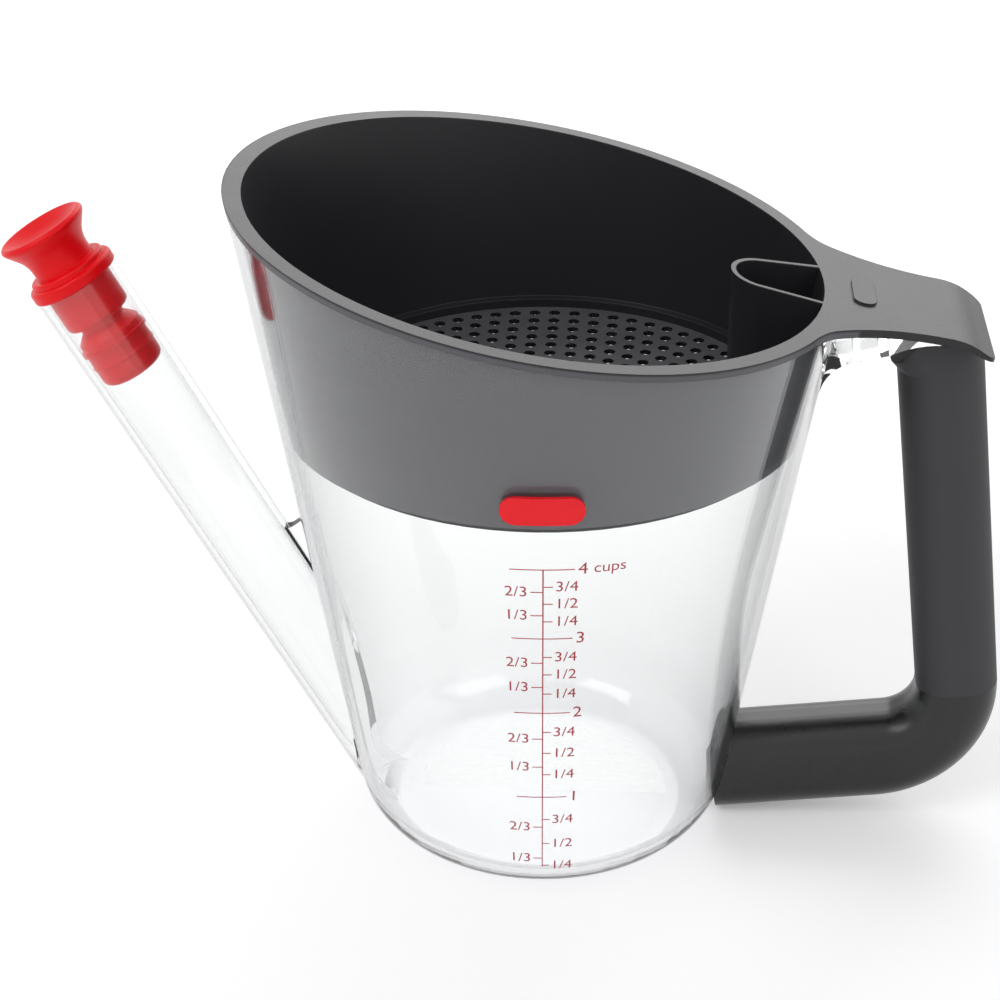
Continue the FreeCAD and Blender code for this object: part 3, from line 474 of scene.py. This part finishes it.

# Grey polypropylene with a satin top. The top is painted paler than the bowl's inside: the plastic's
# grey with painted light on the upward face. All but the top face is painted near black, as painted
# shade, because the walls of such small holes look nearly black.
screen = new_piece(
    "screen_plate", screen_points, screen_faces,
    grained("satin_grey_polypropylene_painted_light", ("#4b4b4f", "#58585c"), 0.009, 0.0008, 0.00006, (0.40, 0.50)),
    "strainer")
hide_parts("strainer_screen")
# The second slot is painted shade: the same plastic, painted near black on the hole walls, the underside
# and the edge.
screen.data.materials.append(grained(
    "grey_polypropylene_painted_shade", ("#101011", "#141416"), 0.009, 0.0008, 0.00002, (0.70, 0.80),
    **{"Specular IOR Level": 0.1}))
lowest = np.array([min(screen_points[i][2] for i in face) for face in screen_faces])
in_painted_shade = (lowest < SCREEN_TOP - HOLE_BEVEL / 2).astype(np.int32)
screen.data.polygons.foreach_set("material_index", in_painted_shade)


# The stopper: one solid moulding of red silicone, pressed into the spout's mouth. It is smooth, with
# a soft sheen.
coat(nodes["stopper"], grained(
    "red_silicone", ("#e3020e", "#ee0814"), 0.008, 0.0012, 0.00001, (0.30, 0.38),
    **{"Specular IOR Level": 0.2}))


# The studio: a pale floor, an even white surround, and three large soft lamps. What the camera, gloss
# and clear plastic see of the floor gets a glow on top, which grows with the distance from the
# object, so that the floor ends in white with no edge.
FLOOR_REACH = 3
floor_mesh = bpy.data.meshes.new("floor")
floor_corners = [(FLOOR_REACH * x, FLOOR_REACH * y, 0) for x, y in ((-1, -1), (1, -1), (1, 1), (-1, 1))]
floor_mesh.from_pydata(floor_corners, [], [(0, 1, 2, 3)])
floor = bpy.data.objects.new("floor", floor_mesh)
bpy.context.scene.collection.objects.link(floor)


def seen_ray(material):
    """1 for a ray from the camera, off gloss or through clear plastic, and 0 for light on a surface."""
    path = add(material, "ShaderNodeLightPath", {})
    camera_or_gloss = add(material, "ShaderNodeMath", {
        0: path.outputs["Is Camera Ray"], 1: path.outputs["Is Glossy Ray"]}, operation="MAXIMUM")
    seen = add(material, "ShaderNodeMath", {
        0: camera_or_gloss.outputs[0], 1: path.outputs["Is Transmission Ray"]}, operation="MAXIMUM")
    return seen.outputs[0]


paper = blank("white_studio_paper")
paper_body = add(paper, "ShaderNodeBsdfDiffuse", {"Color": linear("#fbfbfb")})
paper_place = add(paper, "ShaderNodeTexCoord", {})
paper_far = add(paper, "ShaderNodeVectorMath", {0: paper_place.outputs["Object"]}, operation="LENGTH")
paper_fill = add(paper, "ShaderNodeMapRange", {
    "Value": paper_far.outputs["Value"], "From Min": 0.3, "From Max": 1.6, "To Min": 0.2, "To Max": 0.6})
paper_strength = add(paper, "ShaderNodeMapRange", {
    "Value": seen_ray(paper), "To Min": 0.0, "To Max": paper_fill.outputs["Result"]})
paper_glow = add(paper, "ShaderNodeEmission", {"Strength": paper_strength.outputs["Result"]})
paper_both = add(paper, "ShaderNodeAddShader", {0: paper_body.outputs[0], 1: paper_glow.outputs[0]})
add(paper, "ShaderNodeOutputMaterial", {"Surface": paper_both.outputs[0]})
coat(floor, paper)

world = bpy.data.worlds.new("white_surround")
world.use_nodes = True
world.node_tree.nodes.clear()
strength = add(world, "ShaderNodeMapRange", {"Value": seen_ray(world), "To Min": 0.5, "To Max": 1.0})
glow = add(world, "ShaderNodeBackground", {
    "Color": linear("#ffffff"), "Strength": strength.outputs["Result"]})
add(world, "ShaderNodeOutputWorld", {"Surface": glow.outputs[0]})
bpy.context.scene.world = world

LAMP_AIM = Vector((0, 0, 0.08))


def lamp(name, place, size, power):
    """A square soft lamp at a place, turned to face the middle of the object."""
    data = bpy.data.lights.new(name, "AREA")
    data.size, data.energy = size, power
    made = bpy.data.objects.new(name, data)
    made.location = place
    made.rotation_euler = (LAMP_AIM - Vector(place)).to_track_quat("-Z", "Y").to_euler()
    bpy.context.scene.collection.objects.link(made)


lamp("key_lamp", (-0.8, -0.7, 1.1), 0.9, 7)
lamp("fill_lamp", (0.9, -0.8, 0.9), 0.8, 3)
lamp("back_lamp", (0.2, 1.0, 0.8), 1.0, 6)


# The camera, square to the object's long side, a little to the handle's side and looking down. It is
# rolled and shifted by a hair, to frame the object.
AIM = Vector((-0.0103601, 0, 0.0887783))
DISTANCE = 0.5808466
AZIMUTH, ELEVATION, ROLL = (math.radians(a) for a in (4.2047, 28.7011, -0.3877))
SENSOR_WIDTH, LENS_LENGTH = 36.0, 83.622
SHIFT_X, SHIFT_Y = -0.001845, -0.001403
back = Vector((math.sin(AZIMUTH) * math.cos(ELEVATION), -math.cos(AZIMUTH) * math.cos(ELEVATION),
               math.sin(ELEVATION)))
level = (-back).cross(Vector((0, 0, 1))).normalized()
upright = level.cross(-back)
right = level * math.cos(ROLL) + upright * math.sin(ROLL)
up = upright * math.cos(ROLL) - level * math.sin(ROLL)
turned_to_aim = Matrix((right, up, back)).transposed().to_4x4()
lens = bpy.data.cameras.new("camera")
lens.sensor_width, lens.lens = SENSOR_WIDTH, LENS_LENGTH
lens.shift_x, lens.shift_y = SHIFT_X, SHIFT_Y
lens.clip_start, lens.clip_end = 0.01, 20
camera = bpy.data.objects.new("camera", lens)
camera.matrix_world = Matrix.Translation(AIM + back * DISTANCE) @ turned_to_aim
bpy.context.scene.collection.objects.link(camera)
bpy.context.scene.camera = camera
bpy.context.scene.view_settings.view_transform = "Standard"
